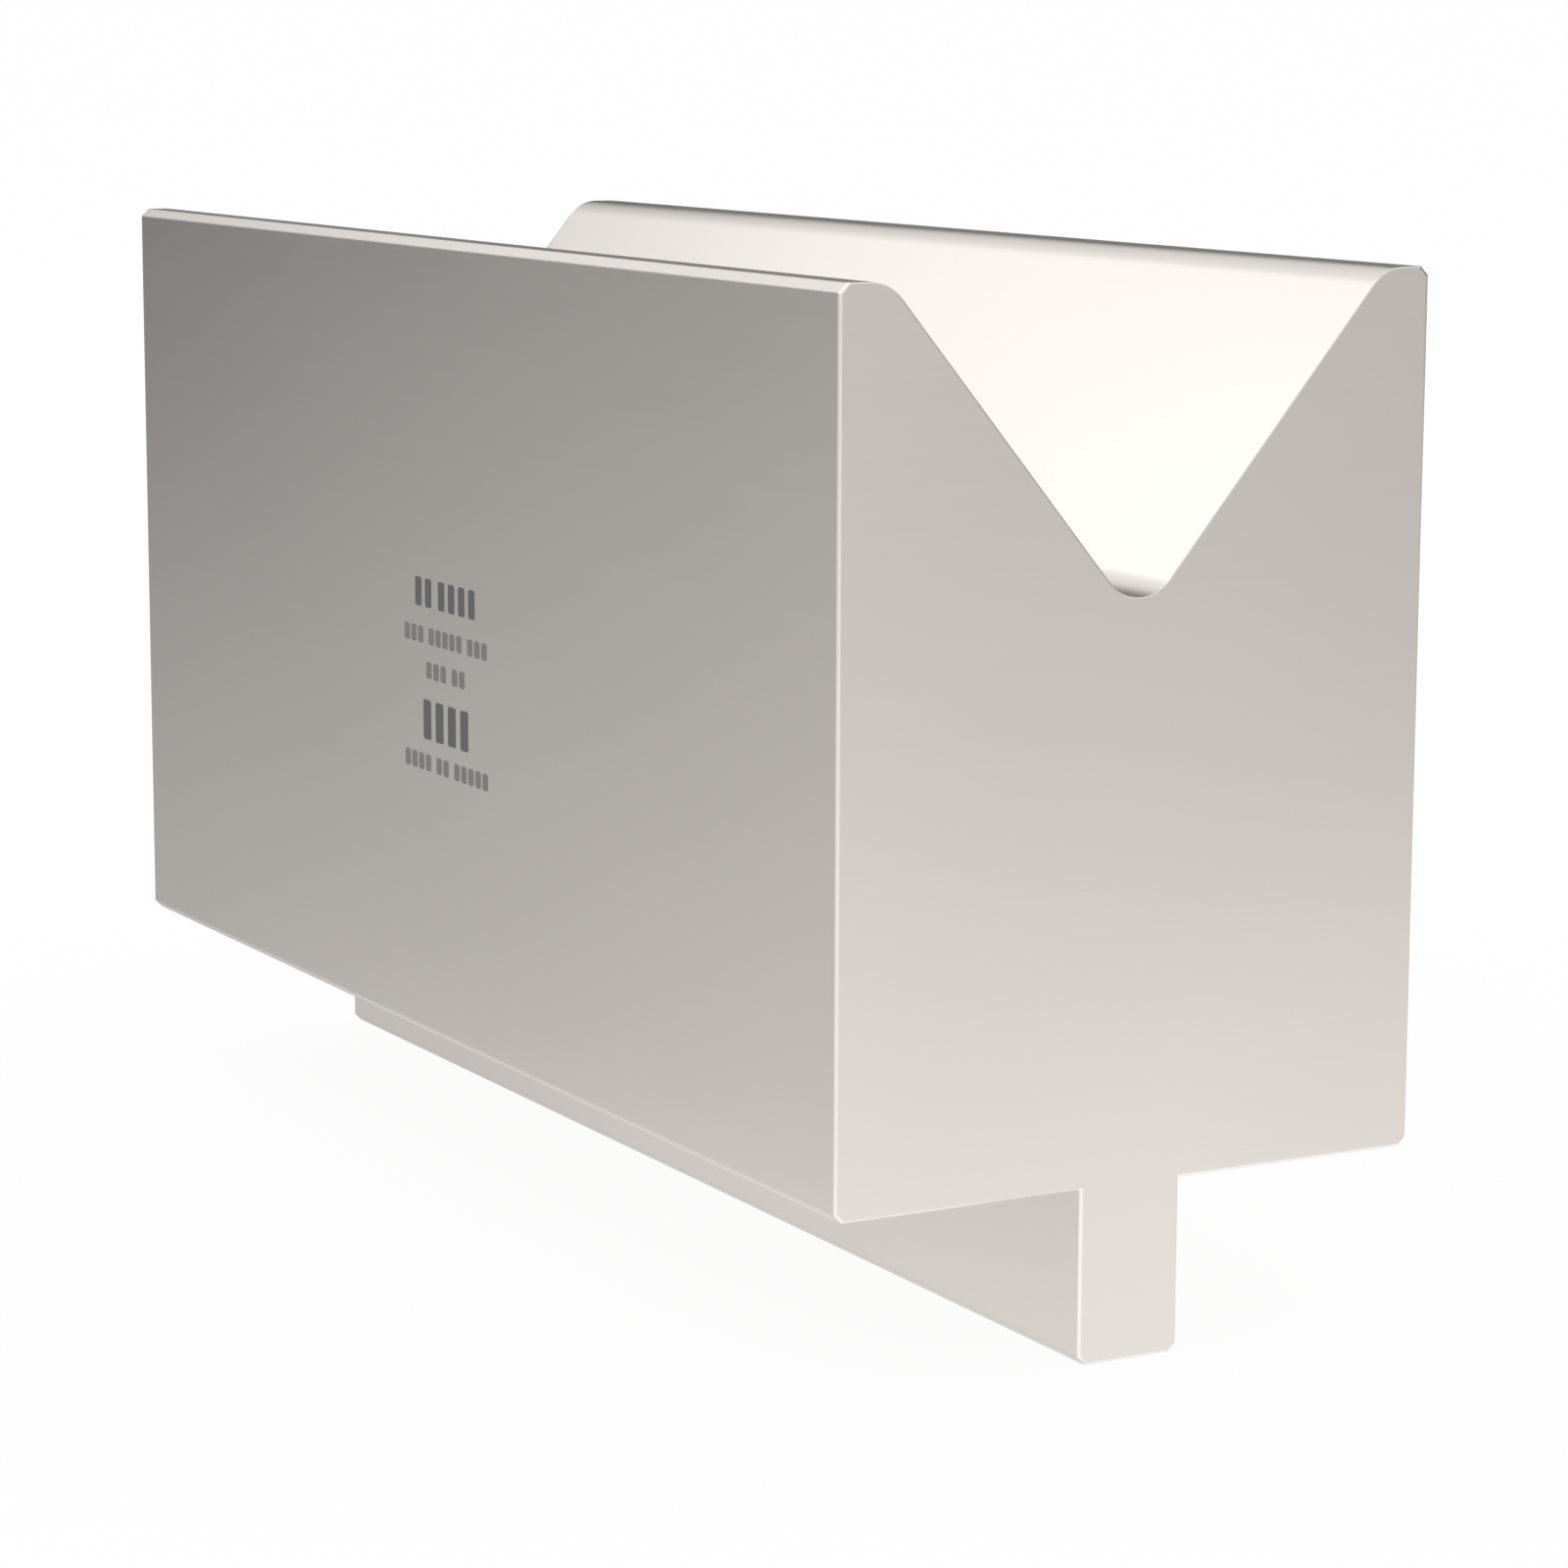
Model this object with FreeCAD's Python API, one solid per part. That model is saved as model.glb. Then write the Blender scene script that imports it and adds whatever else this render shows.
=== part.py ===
import FreeCAD, Part

import math
import os

# Lower tool of a press brake: a V die ground from one bar of tool steel.
# Sheet metal lies on the two top lands, and the punch presses it down into the groove.
# X runs across the groove, Y along it and +Z up. The origin is the middle of the tang's
# root: it lies in the seat plane, which rests on the die holder, at half the length.

# Driving dimensions, in millimetres and degrees.
die_length = 200.0  # along the groove: one segment of a row of dies
body_width = 75.0  # across the two side faces
working_height = 100.0  # from the seat plane up to the top lands
vee_opening = 60.0  # between the lines where the flanks run into the shoulder radii
vee_angle = 80.0  # between the two flanks
shoulder_radius = 5.0  # each shoulder of the groove, where the sheet slides in
root_radius = 5.0  # bottom of the groove, tangent to both flanks
tang_width = 13.0  # fits the slot of a standard die holder
tang_depth = 20.0  # from the seat plane down to the tang's foot
body_edge_chamfer = 1.0  # 45 degrees, on the body's four long outer edges
tang_edge_chamfer = 1.0  # 45 degrees, on the tang's two long lower edges
end_edge_chamfer = 0.3  # 45 degrees, round both end faces outside the working surface

# Places worked out from the driving dimensions.
seat_z = 0.0
half_length = die_length / 2
half_width = body_width / 2
half_tang = tang_width / 2
half_angle = math.radians(vee_angle / 2)
land_outer_x = half_width - body_edge_chamfer

# A shoulder radius reaches from the opening line outwards, over the mouth's sharp corner,
# to the land. It is limited by the wall there, of which it leaves a share as land.
least_land_share = 0.1
shoulder_wall = land_outer_x - vee_opening / 2
tangent_per_radius = math.tan((math.pi / 2 - half_angle) / 2)
widest_tangent = (1 - least_land_share) * shoulder_wall / (1 + math.sin(half_angle))
shoulder_tangent = min(shoulder_radius * tangent_per_radius, widest_tangent)
fitted_shoulder_radius = shoulder_tangent / tangent_per_radius
mouth_half_width = vee_opening / 2 + shoulder_tangent * math.sin(half_angle)
apex_z = working_height - mouth_half_width / math.tan(half_angle)


def point(x, z):
    """A point of the cross-section, at the near end of the die."""
    return FreeCAD.Vector(x, -half_length, z)


def sharp(x, z):
    """A section corner that stays sharp."""
    return {"at": point(x, z), "chamfer": 0.0, "radius": 0.0}


def chamfered(x, z, size):
    """A right-angled section corner with a 45 degree chamfer."""
    return {"at": point(x, z), "chamfer": size, "radius": 0.0}


def rounded(x, z, radius):
    """A section corner with a radius tangent to both of its sides."""
    return {"at": point(x, z), "chamfer": 0.0, "radius": radius}


def section_corners():
    """The corners of the section, anticlockwise from the tang's lower right one."""
    foot_z = seat_z - tang_depth
    return [
        chamfered(half_tang, foot_z, tang_edge_chamfer),
        sharp(half_tang, seat_z),
        chamfered(half_width, seat_z, body_edge_chamfer),
        chamfered(half_width, working_height, body_edge_chamfer),
        rounded(mouth_half_width, working_height, fitted_shoulder_radius),
        rounded(0.0, apex_z, root_radius),
        rounded(-mouth_half_width, working_height, fitted_shoulder_radius),
        chamfered(-half_width, working_height, body_edge_chamfer),
        chamfered(-half_width, seat_z, body_edge_chamfer),
        sharp(-half_tang, seat_z),
        chamfered(-half_tang, foot_z, tang_edge_chamfer),
    ]


def corner_cut(corner, before, after):
    """Where one corner's radius or chamfer starts and ends, and its edge or None."""
    at = corner["at"]
    back = (before - at).normalize()
    ahead = (after - at).normalize()
    if corner["radius"]:
        half_turn = (math.pi - back.getAngle(ahead)) / 2
        setback = corner["radius"] * math.tan(half_turn)
        to_arc = corner["radius"] / math.cos(half_turn) - corner["radius"]
        middle = at + (back + ahead).normalize() * to_arc
        start = at + back * setback
        end = at + ahead * setback
        return start, end, Part.Arc(start, middle, end).toShape()
    if corner["chamfer"]:
        start = at + back * corner["chamfer"]
        end = at + ahead * corner["chamfer"]
        return start, end, Part.makeLine(start, end)
    return at, at, None


def section_face():
    """The die's cross-section as one face bounded by straight runs, chamfers and arcs."""
    corners = section_corners()
    cuts = []
    for number, corner in enumerate(corners):
        before = corners[number - 1]["at"]
        after = corners[(number + 1) % len(corners)]["at"]
        cuts.append(corner_cut(corner, before, after))
    edges = []
    for number, (start, end, corner_edge) in enumerate(cuts):
        if corner_edge:
            edges.append(corner_edge)
        next_start = cuts[(number + 1) % len(cuts)][0]
        edges.append(Part.makeLine(end, next_start))
    return Part.Face(Part.Wire(edges))


def outer_end_edges(solid):
    """Edges of both end faces outside the groove and the lands, which stay sharp."""
    found = []
    for edge in solid.Edges:
        middle = edge.CenterOfMass
        on_end_face = abs(abs(middle.y) - half_length) < 1e-6
        outside_groove = abs(middle.x) > land_outer_x or middle.z < apex_z
        if on_end_face and outside_groove:
            found.append(edge)
    return found


def make_die():
    """The whole die: the section run out along its length, with its ends deburred."""
    bar = section_face().extrude(FreeCAD.Vector(0, die_length, 0))
    return bar.makeChamfer(end_edge_chamfer, outer_end_edges(bar))


os.makedirs("parts", exist_ok=True)
make_die().exportStep("parts/v_die.step")
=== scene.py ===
"""Looks of the press brake V die: ground tool steel, a generic marking and a plain pale studio."""

import math

import bmesh
import bpy
from mathutils import Matrix, Vector


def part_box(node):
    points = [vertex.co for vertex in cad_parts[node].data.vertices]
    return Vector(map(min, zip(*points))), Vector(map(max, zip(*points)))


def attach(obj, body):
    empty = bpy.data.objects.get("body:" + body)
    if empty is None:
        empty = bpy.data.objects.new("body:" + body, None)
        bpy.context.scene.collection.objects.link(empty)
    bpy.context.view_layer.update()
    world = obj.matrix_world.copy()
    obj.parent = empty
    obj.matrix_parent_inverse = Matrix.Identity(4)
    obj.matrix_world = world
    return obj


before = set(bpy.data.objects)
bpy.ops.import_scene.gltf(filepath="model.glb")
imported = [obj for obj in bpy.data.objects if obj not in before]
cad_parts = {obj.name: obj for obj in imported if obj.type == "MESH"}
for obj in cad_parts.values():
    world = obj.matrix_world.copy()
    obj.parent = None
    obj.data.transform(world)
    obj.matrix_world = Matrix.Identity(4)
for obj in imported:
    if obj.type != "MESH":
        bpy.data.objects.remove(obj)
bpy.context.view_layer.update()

MM = 0.001
NODE = "v_die"
BODY = "root"
low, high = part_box(NODE)

# Camera, corner on to the die's front end and its left side.
CAMERA_PLACE = Vector((-0.26925, -0.51039, 0.12702))
CAMERA_HEADING = math.radians(-28.783)
CAMERA_DROP = math.radians(9.552)
CAMERA_ROLL = math.radians(0.188)
CAMERA_LENS = 104.74

# Ground steel, a slightly warm satin, with grinding lines along the sides and across the ends.
STEEL_COLOUR = (0.795, 0.752, 0.709, 1.0)
STEEL_ROUGHNESS = 0.36
ROUGHNESS_SPREAD = 0.015
GRAIN_ALONG = 22.0
GRAIN_ACROSS = 2600.0
GRAIN_RANGE = (0.25, 0.75)
GRAIN_SPREAD = 0.008
GRAIN_RELIEF = 0.02 * MM
GRAIN_STRENGTH = 0.06
CLOUD_SCALES = (14.0, 9.0, 14.0)
CLOUD_DETAIL = 2.0
CLOUD_RANGE = (0.3, 0.7)
CLOUD_SPREAD = 0.015

# Where the steel differs: its roughness on the lands, the ends' edges, the upper chamfers and the root,
# a painted highlight along the ends' edges, and painted shade on the shoulders, the upper chamfers and
# the root.
LAND_ROUGHNESS = 0.28
LAND_DEPTH = 0.5 * MM
# Painted shade on the shoulders' rounds, deepening over the blend up from the flanks.
SHOULDER_PAINTED_SHADE = 0.87
SHOULDER_BLEND = 1.8 * MM
# Painted highlight: a lighter colour along the ends' edges.
EDGE_HIGHLIGHT_COLOUR = (0.975, 0.941, 0.907, 1.0)
EDGE_WIDTH = 0.35 * MM
EDGE_SAMPLES = 6
EDGE_ROUGHNESS = 0.30
TOP_CHAMFER = 1.0 * MM
# Painted shade on the long upper chamfers.
TOP_CHAMFER_PAINTED_SHADE = 0.89
TOP_CHAMFER_ROUGHNESS = 0.42
# Painted shade in the root of the vee: its colour darkened along the middle of the root, most towards
# the ends.
ROOT_PAINTED_SHADE = 0.22
ROOT_MIDDLE_PAINTED_SHADE = 0.48
ROOT_END_REACH = 30.0 * MM
ROOT_ROUGHNESS = 0.46
ROOT_DARK_HALF = 0.3 * MM
ROOT_CLEAR_HALF = 3.0 * MM

# Y of the normal, where an end begins and where its edges leave the sides and the end.
END_TURN = (0.85, 0.95)
EDGE_TURN = (0.25, 0.50)
EDGE_TURN_END = (0.97, 0.88)

# Z of the normal that counts as upwards: in the root, on a chamfer, and beyond a flank's own.
ROOT_TURN = (0.2, 0.4)
CHAMFER_TURN = 0.3
ROUND_TURN = 0.01

# Rounds of the vee: the shoulders' and the root's radius and axes, and the flanks' slope from upright.
ROUND_RADIUS = 5.0 * MM
FLANK_SLOPE = math.radians(40)
SHOULDER_AXIS_X = 33.83 * MM
SHOULDER_AXIS_Z = high.z - ROUND_RADIUS
SHOULDER_FOOT_Z = SHOULDER_AXIS_Z + ROUND_RADIUS * math.sin(FLANK_SLOPE)
ROOT_AXIS_Z = 70.24 * MM

# Marking on the left side, rows of plain blocks:
# height of the row's foot, height and width of the row, blocks in each word, and whether it is bold.
MARK_CENTRE_Y = -1.6 * MM
MARK_ROWS = (
    (54.5 * MM, 3.6 * MM, 17.5 * MM, (4, 2), True),
    (49.9 * MM, 2.1 * MM, 24.2 * MM, (3, 5, 3), False),
    (45.6 * MM, 2.1 * MM, 11.3 * MM, (2, 3), False),
    (37.9 * MM, 5.0 * MM, 13.2 * MM, (4,), True),
    (33.9 * MM, 2.1 * MM, 24.4 * MM, (5, 2, 4), False),
)
BOLD_GAP = 0.60
FINE_GAP = 0.35
MARK_WORD_GAP = 1.10
MARK_CORNER = 0.25 * MM
MARK_PROUD = 0.015 * MM
MARK_SUNK = 0.030 * MM
BOLD_INK = (0.100, 0.101, 0.100, 1.0)
FINE_INK = (0.175, 0.171, 0.167, 1.0)
INK_SPECKLE = 5200.0
INK_DETAIL = 4.0
INK_DETAIL_ROUGHNESS = 0.65
INK_RANGE = (0.3, 0.7)
INK_LEVELS = (0.88, 1.12)
INK_ROUGHNESS = (0.50, 0.62)

# Floor: flat rings out to a rim that curves up.
FLOOR_COLOUR = (0.95, 0.95, 0.95, 1.0)
FLOOR_GLOW = 0.93
FLAT_RADII = (0.5, 2.0)
FLOOR_RADIUS = 6.0
RIM_HEIGHT = 0.25
RIM_WIDTH = 0.5
RIM_STEPS = 12
STEPS_AROUND = 96

# Surround card: black behind the die, pale before it, and white at its top edge.
SURROUND_RADIUS = 1.12
SURROUND_HEIGHT = 0.600
SURROUND_HEADING = math.radians(37.0)
SURROUND_BACK = 0.0
SURROUND_FRONT = 0.844
SURROUND_POWER = 1.142
SURROUND_FADE = 0.948

# Side card, slanting along the die's left side, darker to the back and to its top.
SIDE_CARD_BACK = (-0.044, 0.161)
SIDE_CARD_FRONT = (-0.103, -0.140)
SIDE_CARD_HEIGHT = 0.123
SIDE_CARD_TONES = (0.476, 0.800)
SIDE_CARD_TOP_DROP = 0.310

# Floor card, a painted shadow that only the steel's reflections show, from the side card's foot to the
# tang and up to the front end, darker to the back and against the tang. The corner is the X of its front
# left corner.
FLOOR_CARD_CORNER = -0.095
FLOOR_SHADOW_TONES = (0.600, 0.895)
FLOOR_CARD_LIFT = 0.1 * MM
TANG_HALF = 6.5 * MM
TANG_CHAMFER = 1.0 * MM
CONTACT_REACH = 3.0 * MM
CONTACT_SHADE = 0.93

# Front card, low and slanting before the front end, darker to the right.
FRONT_CARD_RIGHT = (0.493, -0.106)
FRONT_CARD_LEFT = (-0.053, -0.425)
FRONT_CARD_HEIGHT = 0.091
FRONT_CARD_TONES = (0.402, 0.766)

# Front floor card, from the front end to the front card's foot, a little darker to the right.
FRONT_FLOOR_SPAN = (0.020, 0.110)
FRONT_FLOOR_TONES = (1.000, 0.930)

# Key lamp, behind the die on its left.
KEY_HEADING = math.radians(-32.0)
KEY_RISE = math.radians(31.9)
KEY_DISTANCE = 1.6
KEY_SPREAD = math.radians(17.1)
KEY_RADIANCE = 0.959


def new_tree(name):
    """A new material and its empty node tree."""
    made = bpy.data.materials.new(name)
    made.use_nodes = True
    made.node_tree.nodes.clear()
    return made, made.node_tree


def add(tree, kind, settings=None, inputs=None):
    """A node of this kind, with its settings and its sockets' own values."""
    node = tree.nodes.new(kind)
    for key, value in (settings or {}).items():
        setattr(node, key, value)
    for key, value in (inputs or {}).items():
        node.inputs[key].default_value = value
    return node


def calculate(tree, operation, *terms, clamp=False):
    """The output of a math node whose terms are numbers or sockets."""
    node = add(tree, "ShaderNodeMath", {"operation": operation, "use_clamp": clamp})
    for socket, term in zip(node.inputs, terms):
        if isinstance(term, (int, float)):
            socket.default_value = term
        else:
            tree.links.new(term, socket)
    return node.outputs[0]


def remap(tree, value, start, end, first=0.0, last=1.0, smooth=True):
    """value taken from start..end to first..last, smoothly or in line."""
    kind = "SMOOTHSTEP" if smooth else "LINEAR"
    ends = {"From Min": start, "From Max": end, "To Min": first, "To Max": last}
    node = add(tree, "ShaderNodeMapRange", {"interpolation_type": kind}, ends)
    tree.links.new(value, node.inputs["Value"])
    return node.outputs[0]


def blend_from_one(tree, share, full):
    """1 where share is 0, and the socket full's value where it is 1."""
    blend = add(tree, "ShaderNodeMix", {"data_type": "FLOAT"})
    tree.links.new(share, blend.inputs[0])
    blend.inputs[2].default_value = 1.0
    tree.links.new(full, blend.inputs[3])
    return blend.outputs[0]


def place_parts(tree):
    """The X, Y and Z sockets of the place on the piece, in metres."""
    place = add(tree, "ShaderNodeTexCoord")
    split = add(tree, "ShaderNodeSeparateXYZ")
    tree.links.new(place.outputs["Object"], split.inputs[0])
    return split.outputs


def normal_parts(tree):
    """The X, Y and Z sockets of the surface's normal."""
    surface = add(tree, "ShaderNodeNewGeometry")
    split = add(tree, "ShaderNodeSeparateXYZ")
    tree.links.new(surface.outputs["Normal"], split.inputs[0])
    return split.outputs


def finish_tree(tree, shader):
    out = add(tree, "ShaderNodeOutputMaterial")
    tree.links.new(shader.outputs[0], out.inputs["Surface"])


def stretched_noise(tree, scales, detail=3.0, roughness=0.55):
    """Noise over the piece's own place, with a scale for each axis."""
    place = add(tree, "ShaderNodeTexCoord")
    mapping = add(tree, "ShaderNodeMapping", {}, {"Scale": scales})
    tree.links.new(place.outputs["Object"], mapping.inputs["Vector"])
    noise = add(tree, "ShaderNodeTexNoise", {}, {"Scale": 1.0, "Detail": detail, "Roughness": roughness})
    tree.links.new(mapping.outputs[0], noise.inputs["Vector"])
    return noise.outputs["Fac"]


def eased_edges(tree):
    """The normal eased round the edges, and 1 along the edges of the ends, 0 on the open faces."""
    bevel = add(tree, "ShaderNodeBevel", {"samples": EDGE_SAMPLES}, {"Radius": EDGE_WIDTH})
    parts = add(tree, "ShaderNodeSeparateXYZ")
    tree.links.new(bevel.outputs[0], parts.inputs[0])
    turn = calculate(tree, "ABSOLUTE", parts.outputs["Y"])
    off_sides = remap(tree, turn, *EDGE_TURN)
    off_ends = remap(tree, turn, *EDGE_TURN_END)
    return bevel.outputs[0], calculate(tree, "MULTIPLY", off_sides, off_ends)


def above_flank(tree, normal):
    """1 where the surface faces further up than a flank does."""
    return calculate(tree, "GREATER_THAN", normal["Z"], math.sin(FLANK_SLOPE) + ROUND_TURN)


def shoulder_arc(tree, place, normal):
    """1 on the shoulders' rounds, and their true normal."""
    reach = calculate(tree, "SUBTRACT", calculate(tree, "ABSOLUTE", place["X"]), SHOULDER_AXIS_X)
    arc = add(tree, "ShaderNodeCombineXYZ")
    side = calculate(tree, "SIGN", place["X"])
    tree.links.new(calculate(tree, "MULTIPLY", reach, side), arc.inputs["X"])
    tree.links.new(calculate(tree, "SUBTRACT", place["Z"], SHOULDER_AXIS_Z), arc.inputs["Z"])
    share = calculate(tree, "GREATER_THAN", place["Z"], SHOULDER_FOOT_Z)
    share = calculate(tree, "MULTIPLY", share, calculate(tree, "LESS_THAN", reach, 0.0))
    return calculate(tree, "MULTIPLY", share, above_flank(tree, normal)), arc.outputs[0]


def root_arc(tree, place, normal):
    """1 on the root's round, and its true normal."""
    arc = add(tree, "ShaderNodeCombineXYZ")
    tree.links.new(calculate(tree, "MULTIPLY", place["X"], -1.0), arc.inputs["X"])
    tree.links.new(calculate(tree, "SUBTRACT", ROOT_AXIS_Z, place["Z"]), arc.inputs["Z"])
    half = calculate(tree, "ABSOLUTE", place["X"])
    share = calculate(tree, "LESS_THAN", half, ROUND_RADIUS * math.cos(FLANK_SLOPE))
    return calculate(tree, "MULTIPLY", share, above_flank(tree, normal)), arc.outputs[0]


def round_normal(tree, eased, arcs):
    """The eased normal, replaced on each arc by the arc's own."""
    turned = eased
    for share, arc in arcs:
        mix = add(tree, "ShaderNodeMix", {"data_type": "VECTOR"})
        tree.links.new(share, mix.inputs["Factor"])
        tree.links.new(turned, mix.inputs[4])
        tree.links.new(arc, mix.inputs[5])
        turned = mix.outputs[1]
    unit = add(tree, "ShaderNodeVectorMath", {"operation": "NORMALIZE"})
    tree.links.new(turned, unit.inputs[0])
    return unit.outputs[0]


def grinding_lines(tree, normal):
    """Fine noise drawn out along the sides, and across the ends."""
    on_end = remap(tree, calculate(tree, "ABSOLUTE", normal["Y"]), *END_TURN)
    along = stretched_noise(tree, (GRAIN_ACROSS, GRAIN_ALONG, GRAIN_ACROSS))
    across = stretched_noise(tree, (GRAIN_ALONG, GRAIN_ACROSS, GRAIN_ACROSS))
    grain = add(tree, "ShaderNodeMix", {"data_type": "FLOAT"})
    tree.links.new(on_end, grain.inputs[0])
    tree.links.new(along, grain.inputs[2])
    tree.links.new(across, grain.inputs[3])
    return grain.outputs[0]


def chamfer_share(tree, place, normal, edge):
    """1 on the long upper chamfers, and 0 where they meet the ends' edges."""
    half = calculate(tree, "ABSOLUTE", place["X"])
    share = calculate(tree, "GREATER_THAN", half, high.x - TOP_CHAMFER)
    faces_up = calculate(tree, "GREATER_THAN", normal["Z"], CHAMFER_TURN)
    share = calculate(tree, "MULTIPLY", share, faces_up)
    return calculate(tree, "SUBTRACT", share, edge, clamp=True)


def root_share(tree, place, normal):
    """1 along the middle of the root, fading to 0 beside it."""
    half = calculate(tree, "ABSOLUTE", place["X"])
    near = remap(tree, half, ROOT_CLEAR_HALF, ROOT_DARK_HALF)
    return calculate(tree, "MULTIPLY", near, remap(tree, normal["Z"], *ROOT_TURN))


def steel_level(tree, place, grain, root, on_chamfer, on_shoulder):
    """How bright the steel is: faint clouds and lines, and painted shade on the root, the upper chamfers
    and the shoulders.
    """
    cloud = stretched_noise(tree, CLOUD_SCALES, CLOUD_DETAIL)
    level = remap(tree, cloud, *CLOUD_RANGE, 1 - CLOUD_SPREAD, 1 + CLOUD_SPREAD, False)
    streak = remap(tree, grain, *GRAIN_RANGE, 1 - GRAIN_SPREAD, 1 + GRAIN_SPREAD, False)
    level = calculate(tree, "MULTIPLY", level, streak)
    length = calculate(tree, "ABSOLUTE", place["Y"])
    # Painted shade along the root, darkest towards the ends.
    root_painted_shade = remap(tree, length, high.y - ROOT_END_REACH, high.y, ROOT_MIDDLE_PAINTED_SHADE, ROOT_PAINTED_SHADE)
    level = calculate(tree, "MULTIPLY", level, blend_from_one(tree, root, root_painted_shade))
    # Painted shade on the shoulders' rounds and on the long upper chamfers.
    shoulder_shade_share = remap(tree, place["Z"], SHOULDER_FOOT_Z, SHOULDER_FOOT_Z + SHOULDER_BLEND)
    shoulder_shade_share = calculate(tree, "MULTIPLY", shoulder_shade_share, on_shoulder)
    for share, full in ((on_chamfer, TOP_CHAMFER_PAINTED_SHADE), (shoulder_shade_share, SHOULDER_PAINTED_SHADE)):
        shade = remap(tree, share, 0.0, 1.0, 1.0, full, False)
        level = calculate(tree, "MULTIPLY", level, shade)
    return level


def steel_colour(tree, edge, level):
    # The steel's colour, turned to the painted highlight along the ends' edges and scaled by its level
    # with the painted shade.
    tint = add(tree, "ShaderNodeMix", {"data_type": "RGBA"})
    tree.links.new(edge, tint.inputs["Factor"])
    tint.inputs[6].default_value = STEEL_COLOUR
    tint.inputs[7].default_value = EDGE_HIGHLIGHT_COLOUR
    colour = add(tree, "ShaderNodeVectorMath", {"operation": "SCALE"})
    tree.links.new(tint.outputs[2], colour.inputs[0])
    tree.links.new(level, colour.inputs["Scale"])
    return colour.outputs[0]


def steel_gloss(tree, place, grain, edge, root, on_chamfer):
    """Roughness: the steel's own, varied by the grinding lines, and that of each special place."""
    least = STEEL_ROUGHNESS - ROUGHNESS_SPREAD
    most = STEEL_ROUGHNESS + ROUGHNESS_SPREAD
    gloss = remap(tree, grain, *GRAIN_RANGE, least, most, False)
    on_land = remap(tree, place["Z"], high.z - LAND_DEPTH, high.z)
    on_land = calculate(tree, "SUBTRACT", on_land, on_chamfer, clamp=True)
    for share, roughness in (
        (edge, EDGE_ROUGHNESS),
        (root, ROOT_ROUGHNESS),
        (on_land, LAND_ROUGHNESS),
        (on_chamfer, TOP_CHAMFER_ROUGHNESS),
    ):
        change = calculate(tree, "MULTIPLY", share, roughness - STEEL_ROUGHNESS)
        gloss = calculate(tree, "ADD", gloss, change)
    return gloss


def steel_material():
    made, tree = new_tree("ground_steel_satin")
    place = place_parts(tree)
    normal = normal_parts(tree)
    grain = grinding_lines(tree, normal)
    eased, edge = eased_edges(tree)
    shoulders = shoulder_arc(tree, place, normal)
    arcs = (shoulders, root_arc(tree, place, normal))
    bump = add(tree, "ShaderNodeBump", {}, {"Strength": GRAIN_STRENGTH, "Distance": GRAIN_RELIEF})
    tree.links.new(grain, bump.inputs["Height"])
    tree.links.new(round_normal(tree, eased, arcs), bump.inputs["Normal"])

    on_chamfer = chamfer_share(tree, place, normal, edge)
    root = root_share(tree, place, normal)
    level = steel_level(tree, place, grain, root, on_chamfer, shoulders[0])
    gloss = steel_gloss(tree, place, grain, edge, root, on_chamfer)
    steel = add(tree, "ShaderNodeBsdfPrincipled", {}, {"Metallic": 1.0})
    tree.links.new(steel_colour(tree, edge, level), steel.inputs["Base Color"])
    tree.links.new(gloss, steel.inputs["Roughness"])
    tree.links.new(bump.outputs[0], steel.inputs["Normal"])
    finish_tree(tree, steel)
    return made


def ink_material(name, colour):
    made, tree = new_tree(name)
    scales = (INK_SPECKLE, INK_SPECKLE, INK_SPECKLE)
    speckle = stretched_noise(tree, scales, INK_DETAIL, INK_DETAIL_ROUGHNESS)
    level = remap(tree, speckle, *INK_RANGE, *INK_LEVELS, False)
    shade = add(tree, "ShaderNodeVectorMath", {"operation": "SCALE"}, {0: colour[:3]})
    tree.links.new(level, shade.inputs["Scale"])
    gloss = remap(tree, speckle, *INK_RANGE, *INK_ROUGHNESS, False)
    ink = add(tree, "ShaderNodeBsdfPrincipled", {}, {"Metallic": 0.0})
    tree.links.new(shade.outputs[0], ink.inputs["Base Color"])
    tree.links.new(gloss, ink.inputs["Roughness"])
    finish_tree(tree, ink)
    return made


def block_outline(start, foot, width, height):
    """The corners of one block in the side face's Y and Z, with its corners cut."""
    end, top, cut = start + width, foot + height, MARK_CORNER
    return (
        (start + cut, foot), (end - cut, foot), (end, foot + cut), (end, top - cut),
        (end - cut, top), (start + cut, top), (start, top - cut), (start, foot + cut),
    )


def add_block(bm, outline, slot):
    """A closed plate on the left side face, a hair proud of it."""
    outer = [bm.verts.new((low.x - MARK_PROUD, y, z)) for y, z in outline]
    inner = [bm.verts.new((low.x + MARK_SUNK, y, z)) for y, z in outline]
    faces = [bm.faces.new(outer), bm.faces.new(inner[::-1])]
    for number in range(len(outer)):
        after = (number + 1) % len(outer)
        faces.append(bm.faces.new((outer[after], outer[number], inner[number], inner[after])))
    for face in faces:
        face.material_index = slot


def row_blocks(width, words, gap):
    """Start and width of each block of a row, its words split by wider gaps."""
    blocks = sum(words)
    gaps = (blocks - len(words)) * gap + (len(words) - 1) * MARK_WORD_GAP
    block = width / (blocks + gaps)
    start = -width / 2
    for word in words:
        for number in range(word):
            yield start, block
            start += block * (1 + gap)
        start += block * (MARK_WORD_GAP - gap)


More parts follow.
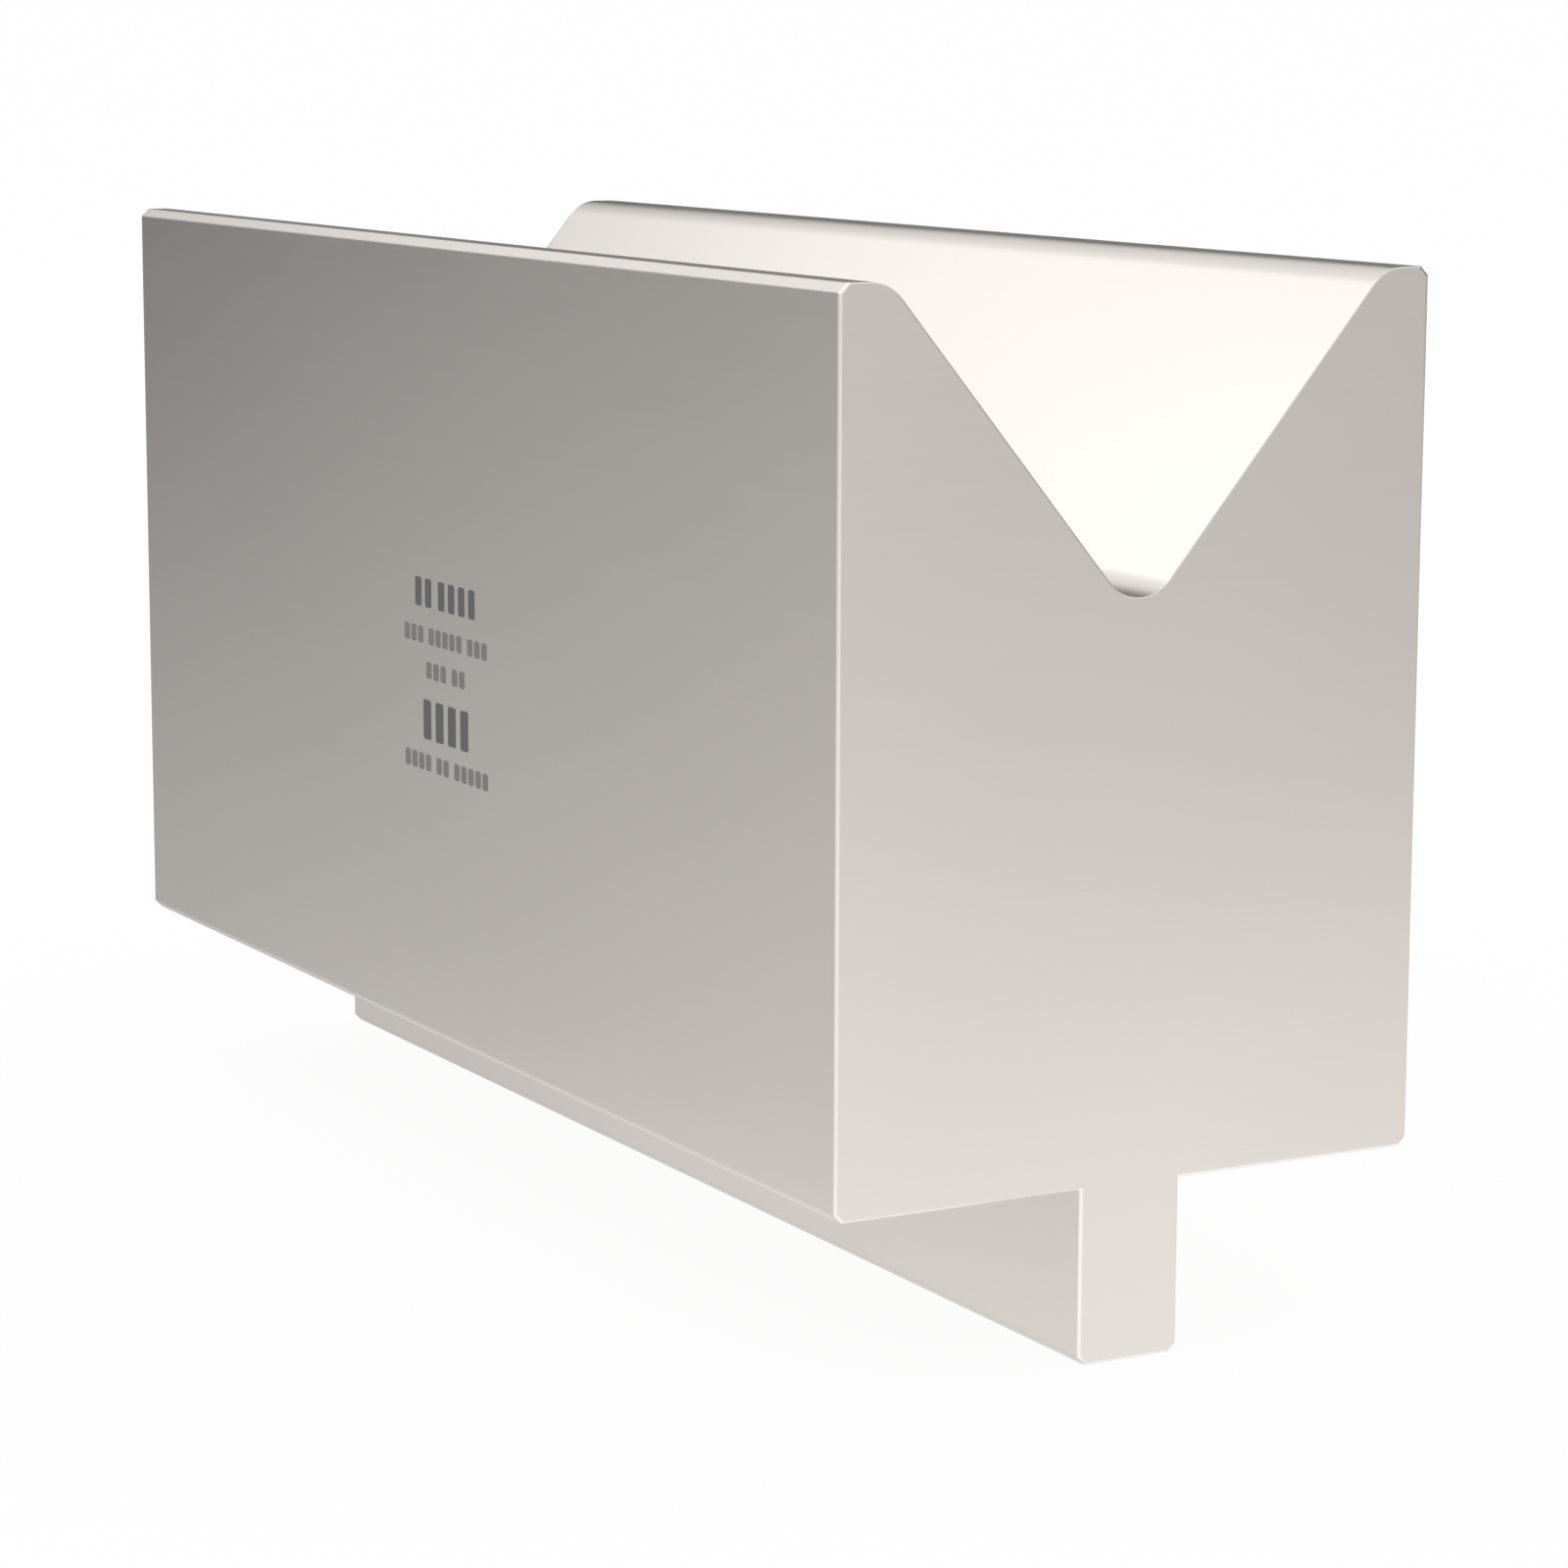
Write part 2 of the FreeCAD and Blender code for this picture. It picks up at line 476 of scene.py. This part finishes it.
def make_marking():
    bm = bmesh.new()
    for foot, height, width, words, bold in MARK_ROWS:
        for start, block in row_blocks(width, words, BOLD_GAP if bold else FINE_GAP):
            outline = block_outline(MARK_CENTRE_Y + start, foot, block, height)
            add_block(bm, outline, 0 if bold else 1)
    bmesh.ops.recalc_face_normals(bm, faces=bm.faces)
    mesh = bpy.data.meshes.new("size_marking")
    bm.to_mesh(mesh)
    bm.free()
    mesh.materials.append(ink_material("marking_bold", BOLD_INK))
    mesh.materials.append(ink_material("marking_fine", FINE_INK))
    marking = bpy.data.objects.new("size_marking", mesh)
    bpy.context.scene.collection.objects.link(marking)
    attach(marking, BODY)


def dress_die():
    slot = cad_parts[NODE].material_slots[0]
    slot.link = "OBJECT"
    slot.material = steel_material()


def floor_material():
    """Pale paper that camera, metal and glass see near white, and that keeps a soft shadow."""
    made, tree = new_tree("floor_paper")
    paper = add(tree, "ShaderNodeBsdfDiffuse", {}, {"Color": FLOOR_COLOUR})
    glow = add(tree, "ShaderNodeEmission", {}, {"Strength": 1.0})
    path = add(tree, "ShaderNodeLightPath")
    seen = calculate(tree, "ADD", path.outputs["Is Camera Ray"], path.outputs["Is Glossy Ray"])
    seen = calculate(tree, "ADD", seen, path.outputs["Is Transmission Ray"], clamp=True)
    share = calculate(tree, "MULTIPLY", seen, FLOOR_GLOW)
    mix = add(tree, "ShaderNodeMixShader")
    tree.links.new(share, mix.inputs["Fac"])
    tree.links.new(paper.outputs[0], mix.inputs[1])
    tree.links.new(glow.outputs[0], mix.inputs[2])
    finish_tree(tree, mix)
    return made


def card_material(name, tone):
    """A card that shows one tone, worked out by tone(tree)."""
    made, tree = new_tree(name)
    card = add(tree, "ShaderNodeEmission")
    tree.links.new(tone(tree), card.inputs["Strength"])
    finish_tree(tree, card)
    return made


def surround_tone(tree):
    """Black towards the back, pale towards the front, and white at the top edge."""
    place = place_parts(tree)
    part_x = calculate(tree, "MULTIPLY", place["X"], math.sin(SURROUND_HEADING) / SURROUND_RADIUS)
    part_y = calculate(tree, "MULTIPLY", place["Y"], math.cos(SURROUND_HEADING) / SURROUND_RADIUS)
    facing = calculate(tree, "ADD", part_x, part_y)
    backness = remap(tree, facing, -1.0, 1.0, 0.0, 1.0, False)
    backness = calculate(tree, "POWER", backness, SURROUND_POWER)
    tone = remap(tree, backness, 0.0, 1.0, SURROUND_FRONT, SURROUND_BACK, False)
    top = low.z + SURROUND_HEIGHT
    rise = remap(tree, place["Z"], low.z + SURROUND_FADE * SURROUND_HEIGHT, top)
    blend = add(tree, "ShaderNodeMix", {"data_type": "FLOAT"})
    tree.links.new(rise, blend.inputs[0])
    tree.links.new(tone, blend.inputs[2])
    blend.inputs[3].default_value = 1.0
    return blend.outputs[0]


def side_card_tone(tree):
    place = place_parts(tree)
    along = remap(tree, place["Y"], SIDE_CARD_BACK[1], SIDE_CARD_FRONT[1], *SIDE_CARD_TONES, False)
    drop = remap(tree, place["Z"], low.z, low.z + SIDE_CARD_HEIGHT, 0.0, SIDE_CARD_TOP_DROP, False)
    return calculate(tree, "SUBTRACT", along, drop)


def floor_shadow_tone(tree):
    # Painted shadow, seen only in the steel's reflections: darker to the back and against the tang.
    place = place_parts(tree)
    along = remap(tree, place["Y"], SIDE_CARD_BACK[1], SIDE_CARD_FRONT[1], *FLOOR_SHADOW_TONES, False)
    contact = remap(tree, place["X"], -TANG_HALF - CONTACT_REACH, -TANG_HALF, 1.0, CONTACT_SHADE)
    return calculate(tree, "MULTIPLY", along, contact)


def front_card_tone(tree):
    place = place_parts(tree)
    return remap(tree, place["X"], FRONT_CARD_RIGHT[0], FRONT_CARD_LEFT[0], *FRONT_CARD_TONES, False)


def front_floor_tone(tree):
    return remap(tree, place_parts(tree)["X"], *FRONT_FLOOR_SPAN, *FRONT_FLOOR_TONES)


def stage_piece(name, bm, made):
    mesh = bpy.data.meshes.new(name)
    bm.to_mesh(mesh)
    bm.free()
    mesh.materials.append(made)
    piece = bpy.data.objects.new(name, mesh)
    bpy.context.scene.collection.objects.link(piece)
    return piece


def only_in_reflections(piece):
    """A flag that gives the steel its dark reflections, and neither shows nor shades."""
    piece.visible_camera = False
    piece.visible_diffuse = False
    piece.visible_shadow = False


def ring_of_points(bm, radius, height):
    """A level ring of vertices about the die, at a height above the floor."""
    ring = []
    for number in range(STEPS_AROUND):
        turn = 2 * math.pi * number / STEPS_AROUND
        ring.append(bm.verts.new((radius * math.cos(turn), radius * math.sin(turn), low.z + height)))
    return ring


def join_rings(bm, inner, outer):
    for number in range(STEPS_AROUND):
        after = (number + 1) % STEPS_AROUND
        bm.faces.new((inner[number], outer[number], outer[after], inner[after]))


def make_floor():
    """A round floor, flat out to a low rim that curves up and hides the horizon."""
    bm = bmesh.new()
    rings = [ring_of_points(bm, radius, 0.0) for radius in FLAT_RADII]
    for number in range(RIM_STEPS + 1):
        turn = math.radians(90) * number / RIM_STEPS
        reach = FLOOR_RADIUS - RIM_WIDTH * (1 - math.sin(turn))
        rings.append(ring_of_points(bm, reach, RIM_HEIGHT * (1 - math.cos(turn))))
    bm.faces.new(rings[0])
    for inner, outer in zip(rings, rings[1:]):
        join_rings(bm, inner, outer)
    floor = stage_piece("floor", bm, floor_material())
    for polygon in floor.data.polygons:
        polygon.use_smooth = True


def make_surround():
    bm = bmesh.new()
    foot = ring_of_points(bm, SURROUND_RADIUS, 0.0)
    top = ring_of_points(bm, SURROUND_RADIUS, SURROUND_HEIGHT)
    join_rings(bm, foot, top)
    only_in_reflections(stage_piece("surround", bm, card_material("surround_card", surround_tone)))


def make_card(name, corners, tone):
    bm = bmesh.new()
    bm.faces.new([bm.verts.new(corner) for corner in corners])
    only_in_reflections(stage_piece(name, bm, card_material(name, tone)))


def upright(start, end, height):
    """The corners of an upright card that stands on the floor from start to end."""
    top = low.z + height
    return (*start, low.z), (*end, low.z), (*end, top), (*start, top)


def make_upright_cards():
    side = upright(SIDE_CARD_BACK, SIDE_CARD_FRONT, SIDE_CARD_HEIGHT)
    make_card("side_card", side, side_card_tone)
    front = upright(FRONT_CARD_RIGHT, FRONT_CARD_LEFT, FRONT_CARD_HEIGHT)
    make_card("front_card", front, front_card_tone)


def make_floor_cards():
    """The cards that lie a hair above the floor, a painted shadow at the die's left and a card before
    its front end.
    """
    near = TANG_CHAMFER - TANG_HALF
    level = low.z + FLOOR_CARD_LIFT
    left = (
        (*SIDE_CARD_BACK, level),
        (FLOOR_CARD_CORNER, low.y, level),
        (near, low.y, level),
        (near, SIDE_CARD_BACK[1], level),
    )
    make_card("floor_card", left, floor_shadow_tone)
    front = (
        (low.x, low.y, level),
        (*FRONT_CARD_LEFT, level),
        (*FRONT_CARD_RIGHT, level),
        (high.x, low.y, level),
    )
    make_card("front_floor_card", front, front_floor_tone)


def make_world():
    world = bpy.data.worlds.new("studio")
    bpy.context.scene.world = world
    world.use_nodes = True
    tree = world.node_tree
    tree.nodes.clear()
    sky = add(tree, "ShaderNodeBackground", {}, {"Color": (1.0, 1.0, 1.0, 1.0), "Strength": 1.0})
    out = add(tree, "ShaderNodeOutputWorld")
    tree.links.new(sky.outputs[0], out.inputs["Surface"])


def make_key():
    """A round soft lamp whose face has KEY_RADIANCE."""
    radius = KEY_DISTANCE * math.tan(KEY_SPREAD)
    data = bpy.data.lights.new("key", "AREA")
    data.shape = "DISK"
    data.size = 2 * radius
    data.energy = KEY_RADIANCE * math.pi * math.pi * radius * radius
    flat = math.cos(KEY_RISE)
    towards = Vector((math.sin(KEY_HEADING) * flat, math.cos(KEY_HEADING) * flat, math.sin(KEY_RISE)))
    key = bpy.data.objects.new("key", data)
    key.location = towards * KEY_DISTANCE
    key.rotation_mode = "QUATERNION"
    key.rotation_quaternion = towards.to_track_quat("Z", "Y")
    bpy.context.scene.collection.objects.link(key)


def make_camera():
    data = bpy.data.cameras.new("camera")
    data.lens = CAMERA_LENS
    camera = bpy.data.objects.new("camera", data)
    heading = Matrix.Rotation(CAMERA_HEADING, 4, "Z")
    tilt = Matrix.Rotation(math.radians(90) - CAMERA_DROP, 4, "X")
    roll = Matrix.Rotation(CAMERA_ROLL, 4, "Z")
    camera.matrix_world = Matrix.Translation(CAMERA_PLACE) @ heading @ tilt @ roll
    bpy.context.scene.collection.objects.link(camera)
    bpy.context.scene.camera = camera


make_camera()
make_world()
make_key()
make_floor()
make_surround()
make_upright_cards()
make_floor_cards()
dress_die()
make_marking()
bpy.context.scene.view_settings.view_transform = "Standard"
